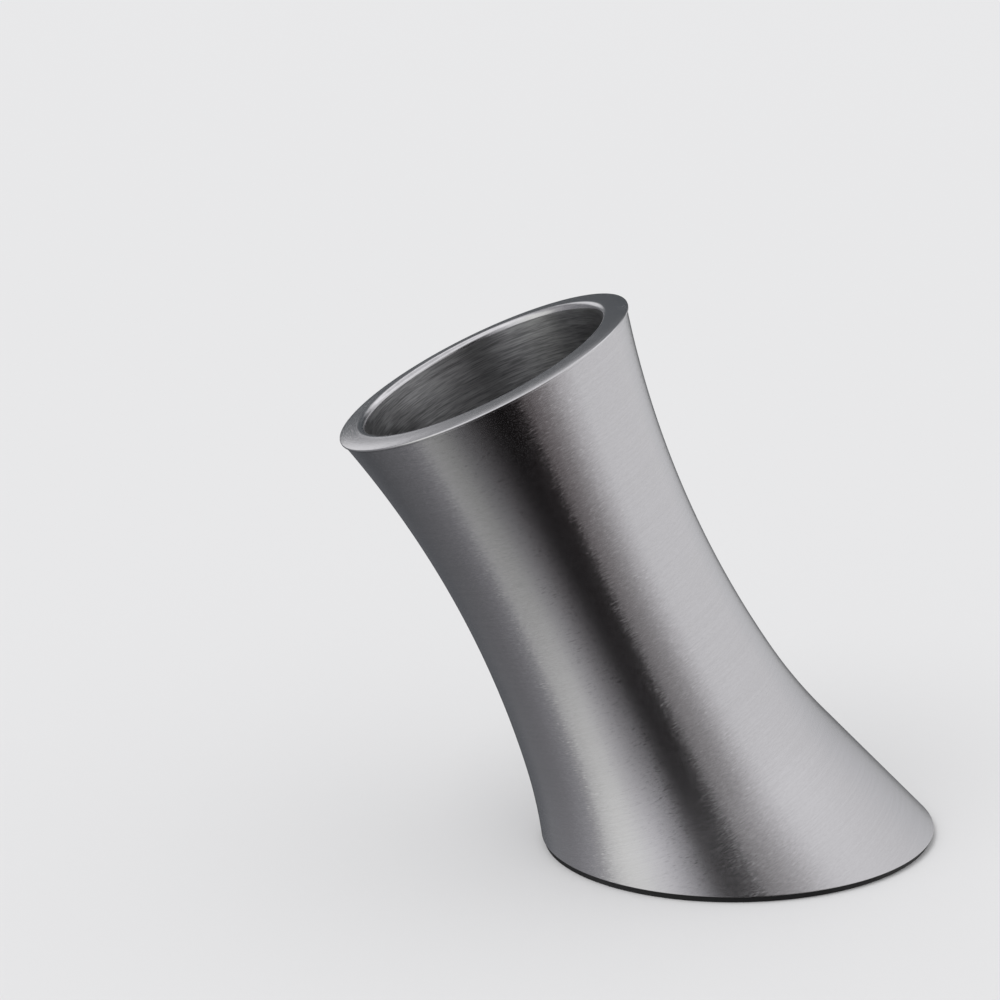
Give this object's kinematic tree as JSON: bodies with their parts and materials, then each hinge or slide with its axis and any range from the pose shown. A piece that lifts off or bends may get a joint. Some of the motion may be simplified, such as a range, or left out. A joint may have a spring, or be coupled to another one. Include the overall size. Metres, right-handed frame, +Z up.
{
  "type": "leaning bottle cooler",
  "caption": "Free-standing double-walled steel cooler for one bottle: a waisted body that leans over a wide oval foot, with a broad flat rim round an open drawn cup.",
  "frame": {"origin": "middle of the foot, on the surface that the cooler stands on", "axes": "+Z up; the body leans towards -X, so the heel and its weight are at +X; Y = 0 is the plane of symmetry"},
  "size_m": [0.2448, 0.1504, 0.2329],
  "materials": {
    "shell_steel": "fine brushing round the body, satin",
    "rim_steel": "satin, brushed round the ring",
    "liner_steel": "brushed round the cup",
    "plate_steel": "mill finish",
    "cast_iron": "as cast",
    "plated_steel": "zinc plated",
    "pad_rubber": "matt, fine grain",
    "adhesive_film": "transfer film",
    "plug_rubber": "soft, matt"
  },
  "bodies": {
    "root": {"outer_shell": "shell_steel", "rim_ring": "rim_steel", "inner_liner": "liner_steel", "base_plate": "plate_steel", "pad_adhesive": "adhesive_film", "foot_pad": "pad_rubber", "ballast_weight": "cast_iron", "ballast_studs": "plated_steel", "ballast_washers": "plated_steel", "spring_washers": "plated_steel", "ballast_nuts": "plated_steel", "vent_plug": "plug_rubber"}
  },
  "joints": []
}
